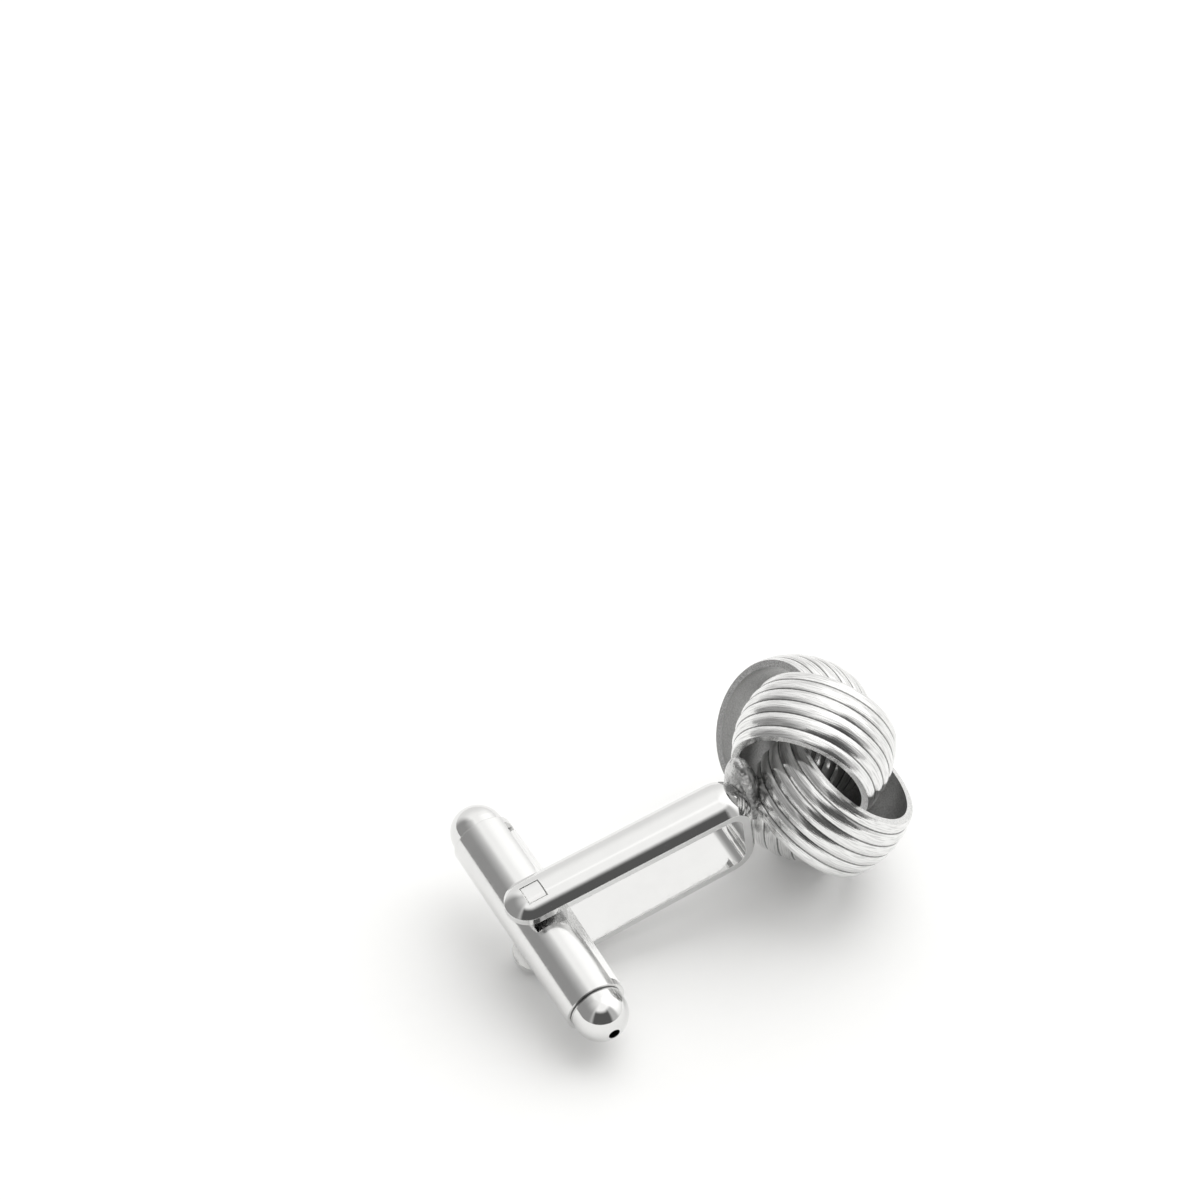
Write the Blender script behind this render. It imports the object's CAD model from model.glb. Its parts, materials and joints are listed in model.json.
import bpy
import json
import math
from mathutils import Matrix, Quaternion, Vector


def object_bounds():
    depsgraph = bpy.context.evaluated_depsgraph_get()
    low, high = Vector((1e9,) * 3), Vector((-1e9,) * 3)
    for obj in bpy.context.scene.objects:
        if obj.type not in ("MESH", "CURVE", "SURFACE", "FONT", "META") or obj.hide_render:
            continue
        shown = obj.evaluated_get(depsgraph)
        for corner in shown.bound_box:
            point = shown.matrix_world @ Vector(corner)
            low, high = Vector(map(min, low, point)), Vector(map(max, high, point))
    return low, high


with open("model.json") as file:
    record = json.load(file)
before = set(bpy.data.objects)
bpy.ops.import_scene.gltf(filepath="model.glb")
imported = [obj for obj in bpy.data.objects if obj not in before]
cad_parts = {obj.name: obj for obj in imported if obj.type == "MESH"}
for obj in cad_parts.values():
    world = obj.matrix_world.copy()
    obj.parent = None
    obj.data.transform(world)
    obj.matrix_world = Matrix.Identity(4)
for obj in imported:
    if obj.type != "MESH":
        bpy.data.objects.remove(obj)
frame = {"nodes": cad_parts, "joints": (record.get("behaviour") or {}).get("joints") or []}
cad_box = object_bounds()

MM = 0.001
NODES = frame["nodes"]
SWIVEL = frame["joints"][0]

# The part's own axes: AHEAD from the pivot to the knot, ACROSS along the toggle, UP along the pivot pin
PIVOT = Vector(SWIVEL["pos_m"])
UP = Vector(SWIVEL["axis"]).normalized()
AHEAD = Vector((UP.z, 0.0, -UP.x)).normalized()
ACROSS = UP.cross(AHEAD)

# The camera of the photograph: the way it looks and where the pivot lies in its view
VIEW_AZIMUTH = math.radians(-27.685)
VIEW_ELEVATION = math.radians(42.726)
VIEW_ROLL = math.radians(-1.003)
FIELD_OF_VIEW = math.radians(12.3)
PIVOT_IN_VIEW = Vector((-3.976, -21.016, -361.73)) * MM
NEAREST_SEEN = 10 * MM

# The floor, a sheet of pale paper: its size in metres, and its finish
FLOOR_SIZE = 4.0
PAPER = {"colour": (0.93, 0.93, 0.925), "darker_share": 0.985, "scale": 0.9, "rough": 0.9, "gloss": 0.1}
PAPER_GLOW = 0.08

# The lamp and the room, by compass direction as seen from the part, in degrees
KEY_LAMP = {"azimuth": 118.0, "elevation": 50.0, "angle": 70.0, "strength": 0.95}
ROOM_GREY = 0.9
ROOM_TINT = (1.0, 0.996, 0.985, 1.0)
# Each side of the room has its limits, their softness and a grey level, and covers the sides before it
ROOM_SIDES = {
    "ceiling": {"azimuth": (-270, 270), "elevation": (38, 180), "soft": (20, 20), "grey": 1.12},
    "left_wall": {"azimuth": (-150, -62), "elevation": (-90, 64), "soft": (16, 32), "grey": 0.33},
    "window": {"azimuth": (48, 132), "elevation": (14, 84), "soft": (28, 20), "grey": 1.45},
    "front_right": {"azimuth": (10, 48), "elevation": (-90, 55), "soft": (8, 8), "grey": 0.55},
    "camera_side": {"azimuth": (-60, 19), "elevation": (-90, 51), "soft": (7, 9), "grey": 0.11},
}

# Sizes of the metal in millimetres, for finishes that follow its shape
BAND_COUNT = 4
BAND_RADIUS = 5.35
BAND_BOW = 0.57
BAND_HALF_WIDTH = 2.646
BAND_TILT = math.radians(42.9)
BAND_OFFSET = 2.547
BAND_SHIFT = 0.348
KNOT_PLACE = (21.272, 0.79, 0.11)
KNOT_YAW = math.radians(3.87)
PIN_HALF = 0.672
TOGGLE_SHIFT = 0.2
BORE_RADIUS = 1.7
BARREL_END = 7.53
VENT_RADIUS = 0.375

# Finishes. Greys run from dark to pale, and edges, rounding and depths of relief are in millimetres.
# A scale is that of a noise over the place in millimetres, and a span is the part of that noise in use.
PLAIN_DETAIL = 2.0
FINE_DETAIL = 3.0
BEVEL_SAMPLES = 6
SILVER_BLUE_SHARE = 0.995

# Mirror silver, and the roughness of the pieces made of it
CLOUD = {"scale": 0.7, "greys": (0.75, 0.80)}
SHEEN = {"scale": 3.0, "span": (0.35, 0.7)}
MIRROR_ROUGH = (0.045, 0.09)
FILED_ROUGH = (0.08, 0.16)
SATIN_ROUGH = (0.13, 0.19)
FRAME_RELIEF = {"scale": 1.5, "depth": 0.002, "rounding": 0.05}
PIN_RELIEF = {"scale": 4.0, "depth": 0.003, "rounding": 0.0}
BARREL_RELIEF = {"scale": 2.0, "depth": 0.002, "rounding": 0.05}
CAP_RELIEF = {"scale": 1.5, "depth": 0.002, "rounding": 0.04}

# Where frame and pin meet, the bore of the barrel, and the seam and vent of a cap
ARM_LINE = {"edge": (0.08, 0.03), "grey": 0.9, "rough": 0.6}
PIN_LINE = {"edge": (-0.04, -0.01), "grey": 0.9, "rough": 0.6}
BORE = {"edge": (0.06, 0.02), "grey": 0.3, "rough": 0.4}
SEAM = {"edge": (0.1, 0.05), "grey": 0.15, "rough": 0.4}
VENT = {"edge": (0.04, 0.01), "grey": 0.02, "rough": 0.6}

# Ribbed silver of the bands
DRAWN_LINES = {"stretch": 0.35, "scale": 11.0, "span": (0.32, 0.58), "greys": (0.64, 0.86), "depth": 0.015}
PATCHES = {"scale": 0.9, "span": (0.12, 0.4), "rough": (0.2, 0.1)}
GROOVES = {"edge": (0.095, 0.125), "grey": 0.2, "rough": 0.25}
GRAIN = {"scale": 9.0, "relief_share": 0.1}
RIMS = {"edge": (-0.03, -0.01), "span": (0.35, 0.65), "greys": (0.62, 0.8), "rough": 0.2}
INSIDES = {"edge": (0.41, 0.47), "span": (0.3, 0.7), "greys": (0.46, 0.62), "rough": 0.34}

# Solder, with pits that thin out towards the far side
SOLDER = {"scale": 1.4, "greys": (0.5, 0.74), "rough": 0.24, "depth": 0.12}
PITS = {"thinning": 0.12, "limits": (0.3, 0.56), "span": (0.45, 0.65), "greys": (0.26, 0.52), "rough": 0.3}

# Cast spine and rolled spring, both with lines along the toggle
BRUSHED = {"stretch": 0.06, "scale": 9.0, "detail": FINE_DETAIL, "rough": (0.16, 0.32), "depth": 0.006}
BRUSHED_GREYS = (0.62, 0.9)
ROLLED = {"stretch": 0.05, "scale": 7.0, "detail": PLAIN_DETAIL, "rough": (0.24, 0.38), "depth": 0.004}
LINED_SPAN = (0.3, 0.7)
STEEL_DARK = (0.40, 0.40, 0.41, 1.0)
STEEL_PALE = (0.58, 0.58, 0.58, 1.0)


def direction(azimuth, elevation):
    """Unit vector for a compass direction: azimuth 0 is -Y and 90 degrees is +X."""
    flat = math.cos(elevation)
    return Vector((math.sin(azimuth) * flat, -math.cos(azimuth) * flat, math.sin(elevation)))


def grey(level):
    """The colour of silver at a grey level."""
    return (level, level, level * SILVER_BLUE_SHARE, 1.0)


class Tree:
    """Builds a node tree a step at a time."""

    def __init__(self, tree):
        self.tree = tree
        tree.nodes.clear()

    def add(self, kind, **settings):
        node = self.tree.nodes.new(kind)
        for name, value in settings.items():
            setattr(node, name, value)
        return node

    def feed(self, socket, value):
        if isinstance(value, bpy.types.NodeSocket):
            self.tree.links.new(value, socket)
        else:
            socket.default_value = value

    def maths(self, operation, first, second=0.0, clamp=False):
        node = self.add("ShaderNodeMath", operation=operation, use_clamp=clamp)
        self.feed(node.inputs[0], first)
        self.feed(node.inputs[1], second)
        return node.outputs[0]

    def vectors(self, operation, first, second):
        node = self.add("ShaderNodeVectorMath", operation=operation)
        self.feed(node.inputs[0], first)
        self.feed(node.inputs[1], second)
        return node.outputs["Value" if operation == "DOT_PRODUCT" else "Vector"]

    def joined(self, x, y, z):
        node = self.add("ShaderNodeCombineXYZ")
        for socket, value in zip(node.inputs, (x, y, z)):
            self.feed(socket, value)
        return node.outputs[0]

    def ramp(self, value, start, stop, low=0.0, high=1.0):
        node = self.add("ShaderNodeMapRange", interpolation_type="SMOOTHSTEP")
        for socket, given in zip(node.inputs, (value, start, stop, low, high)):
            self.feed(socket, given)
        return node.outputs[0]

    def blend(self, factor, first, second):
        node = self.add("ShaderNodeMix", data_type="FLOAT")
        self.feed(node.inputs[0], factor)
        self.feed(node.inputs[2], first)
        self.feed(node.inputs[3], second)
        return node.outputs[0]

    def tint(self, factor, first, second):
        node = self.add("ShaderNodeMix", data_type="RGBA")
        self.feed(node.inputs[0], factor)
        self.feed(node.inputs[6], first)
        self.feed(node.inputs[7], second)
        return node.outputs[2]

    def greys(self, factor, levels):
        return self.tint(factor, grey(levels[0]), grey(levels[1]))

    def noise(self, place, scale, detail=PLAIN_DETAIL):
        node = self.add("ShaderNodeTexNoise")
        self.feed(node.inputs["Vector"], place)
        node.inputs["Scale"].default_value = scale
        node.inputs["Detail"].default_value = detail
        return node.outputs["Fac"]

    def place(self):
        """The point on the part in millimetres."""
        point = self.add("ShaderNodeTexCoord").outputs["Object"]
        return self.vectors("MULTIPLY", point, (1 / MM, 1 / MM, 1 / MM))

    def along(self, place, centre, axes):
        """How far a point lies from a centre along each of the axes, in millimetres."""
        offset = self.vectors("SUBTRACT", place, tuple(centre / MM))
        return [self.vectors("DOT_PRODUCT", offset, tuple(axis)) for axis in axes]

    def radius(self, first, second):
        squares = [self.maths("MULTIPLY", value, value) for value in (first, second)]
        return self.maths("SQRT", self.maths("ADD", *squares))

    def larger_side(self, first, second):
        return self.maths("MAXIMUM", self.maths("ABSOLUTE", first), self.maths("ABSOLUTE", second))


def make_camera():
    camera = bpy.data.objects.new("photo_camera", bpy.data.cameras.new("photo_camera"))
    bpy.context.scene.collection.objects.link(camera)
    camera.data.angle = FIELD_OF_VIEW
    camera.data.clip_start = NEAREST_SEEN
    back = direction(VIEW_AZIMUTH, VIEW_ELEVATION)
    turn = (-back).to_track_quat("-Z", "Y") @ Quaternion((0, 0, 1), VIEW_ROLL)
    camera.rotation_mode = "QUATERNION"
    camera.rotation_quaternion = turn
    camera.location = PIVOT - turn @ PIVOT_IN_VIEW
    bpy.context.scene.camera = camera


def make_world():
    """A pale room with a window and a dark side, which the metal mirrors."""
    world = bpy.data.worlds.new("studio_room")
    bpy.context.scene.world = world
    world.use_nodes = True
    tree = Tree(world.node_tree)
    split = tree.add("ShaderNodeSeparateXYZ")
    tree.feed(split.inputs[0], tree.add("ShaderNodeTexCoord").outputs["Generated"])
    x, y, z = split.outputs
    azimuth = tree.maths("DEGREES", tree.maths("ARCTAN2", x, tree.maths("MULTIPLY", y, -1.0)))
    elevation = tree.maths("DEGREES", tree.maths("ARCSINE", z))
    level = ROOM_GREY
    for side in ROOM_SIDES.values():
        inside = 1.0
        angles = ((azimuth, side["azimuth"]), (elevation, side["elevation"]))
        for (angle, limits), soft in zip(angles, side["soft"]):
            for limit, sign in zip(limits, (1, -1)):
                step = tree.ramp(angle, limit - sign * soft, limit + sign * soft)
                inside = tree.maths("MULTIPLY", step, inside)
        level = tree.blend(inside, level, side["grey"])
    background = tree.add("ShaderNodeBackground")
    background.inputs["Color"].default_value = ROOM_TINT
    tree.feed(background.inputs["Strength"], level)
    output = tree.add("ShaderNodeOutputWorld")
    tree.feed(output.inputs["Surface"], background.outputs[0])


def make_lamp(name, spec):
    """A large soft lamp for the floor and shadow. The metal mirrors the room alone."""
    data = bpy.data.lights.new(name, "SUN")
    data.angle = math.radians(spec["angle"])
    data.energy = spec["strength"]
    lamp = bpy.data.objects.new(name, data)
    bpy.context.scene.collection.objects.link(lamp)
    towards = direction(math.radians(spec["azimuth"]), math.radians(spec["elevation"]))
    lamp.location = towards
    lamp.visible_glossy = False
    lamp.rotation_mode = "QUATERNION"
    lamp.rotation_quaternion = towards.to_track_quat("Z", "Y")


def make_paper():
    """Pale paper, a little brighter where it is seen or mirrored than the light alone makes it."""
    material = bpy.data.materials.new("pale_paper")
    material.use_nodes = True
    tree = Tree(material.node_tree)
    paper = tree.add("ShaderNodeBsdfPrincipled")
    paper.inputs["Roughness"].default_value = PAPER["rough"]
    paper.inputs["Specular IOR Level"].default_value = PAPER["gloss"]
    pale = PAPER["colour"] + (1.0,)
    darker = tuple(PAPER["darker_share"] * value for value in PAPER["colour"]) + (1.0,)
    fibres = tree.noise(tree.place(), PAPER["scale"])
    tree.feed(paper.inputs["Base Color"], tree.tint(fibres, darker, pale))
    rays = tree.add("ShaderNodeLightPath").outputs
    seen = tree.maths("MAXIMUM", rays["Is Camera Ray"], rays["Is Glossy Ray"])
    seen = tree.maths("MAXIMUM", seen, rays["Is Transmission Ray"])
    paper.inputs["Emission Color"].default_value = pale
    tree.feed(paper.inputs["Emission Strength"], tree.maths("MULTIPLY", seen, PAPER_GLOW))
    output = tree.add("ShaderNodeOutputMaterial")
    tree.feed(output.inputs["Surface"], paper.outputs[0])
    return material


def make_floor():
    mesh = bpy.data.meshes.new("studio_floor")
    half = FLOOR_SIZE / 2
    corners = [(-half, -half, 0), (half, -half, 0), (half, half, 0), (-half, half, 0)]
    mesh.from_pydata(corners, [], [(0, 1, 2, 3)])
    mesh.materials.append(make_paper())
    floor = bpy.data.objects.new("studio_floor", mesh)
    bpy.context.scene.collection.objects.link(floor)
    floor.location.z = cad_box[0].z


class Metal:
    """A metal finish: colour and roughness that masks can change, then its fine relief."""

    def __init__(self, name):
        self.material = bpy.data.materials.new(name)
        self.material.use_nodes = True
        self.tree = Tree(self.material.node_tree)
        self.place = self.tree.place()
        self.colour = None
        self.rough = None

    def mask(self, where, colour, rough):
        self.colour = self.tree.tint(where, self.colour, colour)
        self.rough = self.tree.blend(where, self.rough, rough)

    def stain(self, distance, start, spec):
        """A grey stain by the distance from an edge that starts at a size of the metal."""
        first, last = spec["edge"]
        where = self.tree.ramp(distance, start + first, start + last)
        self.mask(where, grey(spec["grey"]), spec["rough"])

    def lined(self, spec):
        """Lines along the toggle, and the roughness that goes with them."""
        x, y, z = self.tree.along(self.place, PIVOT, (AHEAD, ACROSS, UP))
        drawn = self.tree.joined(x, self.tree.maths("MULTIPLY", y, spec["stretch"]), z)
        lines = self.tree.noise(drawn, spec["scale"], spec["detail"])
        self.rough = self.tree.ramp(lines, *LINED_SPAN, *spec["rough"])
        return lines

    def waves(self, spec):
        """Finishes a mirror surface with its faint waves and rounded edges."""
        return self.finish(self.tree.noise(self.place, spec["scale"]), spec["depth"], spec["rounding"])

    def finish(self, height, depth, rounding=0.0):
        tree = self.tree
        metal = tree.add("ShaderNodeBsdfPrincipled")
        metal.inputs["Metallic"].default_value = 1.0
        tree.feed(metal.inputs["Base Color"], self.colour)
        tree.feed(metal.inputs["Roughness"], self.rough)
        bump = tree.add("ShaderNodeBump")
        bump.inputs["Strength"].default_value = 1.0
        bump.inputs["Distance"].default_value = depth * MM
        tree.feed(bump.inputs["Height"], height)
        if rounding:
            edge = tree.add("ShaderNodeBevel", samples=BEVEL_SAMPLES)
            edge.inputs["Radius"].default_value = rounding * MM
            tree.feed(bump.inputs["Normal"], edge.outputs[0])
        tree.feed(metal.inputs["Normal"], bump.outputs[0])
        output = tree.add("ShaderNodeOutputMaterial")
        tree.feed(output.inputs["Surface"], metal.outputs[0])
        return self.material


def polished(name, rough=MIRROR_ROUGH):
    """Mirror silver with faint clouding."""
    metal = Metal(name)
    tree = metal.tree
    metal.colour = tree.greys(tree.noise(metal.place, CLOUD["scale"], FINE_DETAIL), CLOUD["greys"])
    metal.rough = tree.ramp(tree.noise(metal.place, SHEEN["scale"]), *SHEEN["span"], *rough)
    return metal


def band_axes(number):
    """Centre, axis and two cross axes of a band of the knot."""
    ahead = AHEAD * math.cos(KNOT_YAW) - ACROSS * math.sin(KNOT_YAW)
    across = AHEAD * math.sin(KNOT_YAW) + ACROSS * math.cos(KNOT_YAW)
    around = math.tau * (number - 1) / BAND_COUNT
    outward = across * math.cos(around) + UP * math.sin(around)
    sideways = ahead.cross(outward)
    axis = ahead * math.cos(BAND_TILT) + outward * math.sin(BAND_TILT)
    knot = PIVOT + (AHEAD * KNOT_PLACE[0] + ACROSS * KNOT_PLACE[1] + UP * KNOT_PLACE[2]) * MM
    centre = knot + (sideways * BAND_OFFSET - outward * BAND_SHIFT) * MM
    return centre, axis, sideways, axis.cross(sideways)


def make_band_metal(number):
    """Drawn silver: fine lines along the ribs, dark grooves, ground rims and a dull inside."""
    metal = Metal("ribbed_silver_%d" % number)
    tree = metal.tree
    centre, axis, first, second = band_axes(number)
    width, a, b = tree.along(metal.place, centre, (axis, first, second))
    angle = tree.maths("ARCTAN2", b, a)
    share = tree.maths("DIVIDE", width, BAND_HALF_WIDTH)
    drop = tree.maths("MULTIPLY", tree.maths("MULTIPLY", share, share), BAND_BOW)
    depth = tree.maths("SUBTRACT", tree.maths("SUBTRACT", BAND_RADIUS, drop), tree.radius(a, b))
    drawn = tree.joined(tree.maths("MULTIPLY", angle, DRAWN_LINES["stretch"]), width, 0.0)
    lines = tree.noise(drawn, DRAWN_LINES["scale"], FINE_DETAIL)
    patches = tree.noise(metal.place, PATCHES["scale"], FINE_DETAIL)
    grain = tree.noise(metal.place, GRAIN["scale"], FINE_DETAIL)
    metal.colour = tree.greys(tree.ramp(lines, *DRAWN_LINES["span"]), DRAWN_LINES["greys"])
    worn = tree.maths("MULTIPLY", lines, patches)
    metal.rough = tree.ramp(worn, *PATCHES["span"], *PATCHES["rough"])
    metal.stain(depth, 0.0, GROOVES)
    near, far = RIMS["edge"]
    rim = tree.ramp(tree.maths("ABSOLUTE", width), BAND_HALF_WIDTH + near, BAND_HALF_WIDTH + far)
    metal.mask(rim, tree.greys(tree.ramp(grain, *RIMS["span"]), RIMS["greys"]), RIMS["rough"])
    inside = tree.maths("SUBTRACT", tree.ramp(depth, *INSIDES["edge"]), rim, clamp=True)
    metal.mask(inside, tree.greys(tree.ramp(grain, *INSIDES["span"]), INSIDES["greys"]), INSIDES["rough"])
    relief = tree.maths("ADD", lines, tree.maths("MULTIPLY", grain, GRAIN["relief_share"]))
    return metal.finish(relief, DRAWN_LINES["depth"])


def make_frame_metal():
    """Mirror silver with a fine matt line round the pin."""
    metal = polished("frame_silver")
    x, y = metal.tree.along(metal.place, PIVOT, (AHEAD, ACROSS))
    metal.stain(metal.tree.larger_side(x, y), PIN_HALF, ARM_LINE)
    return metal.waves(FRAME_RELIEF)


def make_pin_metal():
    """Filed silver, matt at its edge."""
    metal = polished("pin_silver", FILED_ROUGH)
    x, y = metal.tree.along(metal.place, PIVOT, (AHEAD, ACROSS))
    metal.stain(metal.tree.larger_side(x, y), PIN_HALF, PIN_LINE)
    return metal.waves(PIN_RELIEF)


def make_barrel_metal():
    """Satin silver with a dull bore."""
    metal = polished("barrel_silver", SATIN_ROUGH)
    x, z = metal.tree.along(metal.place, PIVOT + UP * TOGGLE_SHIFT * MM, (AHEAD, UP))
    metal.stain(metal.tree.radius(x, z), BORE_RADIUS, BORE)
    return metal.waves(BARREL_RELIEF)


def make_cap_metal():
    """Mirror silver with a dark seam at the barrel and a dark vent."""
    metal = polished("cap_silver")
    x, y, z = metal.tree.along(metal.place, PIVOT + UP * TOGGLE_SHIFT * MM, (AHEAD, ACROSS, UP))
    metal.stain(metal.tree.maths("ABSOLUTE", y), BARREL_END, SEAM)
    metal.stain(metal.tree.radius(x, z), VENT_RADIUS, VENT)
    return metal.waves(CAP_RELIEF)


def make_solder_metal():
    """Solder left as it cooled: smooth on its far side, dark and pitted on the near one."""
    metal = Metal("solder_grey")
    tree = metal.tree
    lumps = tree.noise(metal.place, SOLDER["scale"], FINE_DETAIL)
    y = tree.along(metal.place, PIVOT, (ACROSS,))[0]
    metal.colour = tree.greys(lumps, SOLDER["greys"])
    metal.rough = SOLDER["rough"]
    pitted = tree.maths("SUBTRACT", lumps, tree.maths("MULTIPLY", y, PITS["thinning"]))
    pits = tree.ramp(pitted, *PITS["limits"])
    metal.mask(pits, tree.greys(tree.ramp(lumps, *PITS["span"]), PITS["greys"]), PITS["rough"])
    return metal.finish(tree.maths("MULTIPLY", lumps, pits), SOLDER["depth"])


def make_spine_metal():
    """Cast silver, brushed along the toggle."""
    metal = Metal("spine_brushed")
    lines = metal.lined(BRUSHED)
    metal.colour = metal.tree.greys(lines, BRUSHED_GREYS)
    return metal.finish(lines, BRUSHED["depth"])


def make_spring_metal():
    """Rolled steel."""
    metal = Metal("spring_steel")
    lines = metal.lined(ROLLED)
    metal.colour = metal.tree.tint(lines, STEEL_DARK, STEEL_PALE)
    return metal.finish(lines, ROLLED["depth"])


def dress(node, material):
    mesh = NODES[node].data
    mesh.materials.clear()
    mesh.materials.append(material)


make_camera()
make_world()
make_lamp("key_lamp", KEY_LAMP)
make_floor()
for number in range(1, BAND_COUNT + 1):
    dress("knot_band_%d" % number, make_band_metal(number))
dress("knot_solder", make_solder_metal())
dress("post_frame", make_frame_metal())
dress("pivot_pin", make_pin_metal())
dress("toggle_barrel", make_barrel_metal())
dress("toggle_spine", make_spine_metal())
dress("detent_spring", make_spring_metal())
cap_silver = make_cap_metal()
dress("end_cap_1", cap_silver)
dress("end_cap_2", cap_silver)
bpy.context.scene.view_settings.view_transform = "Standard"
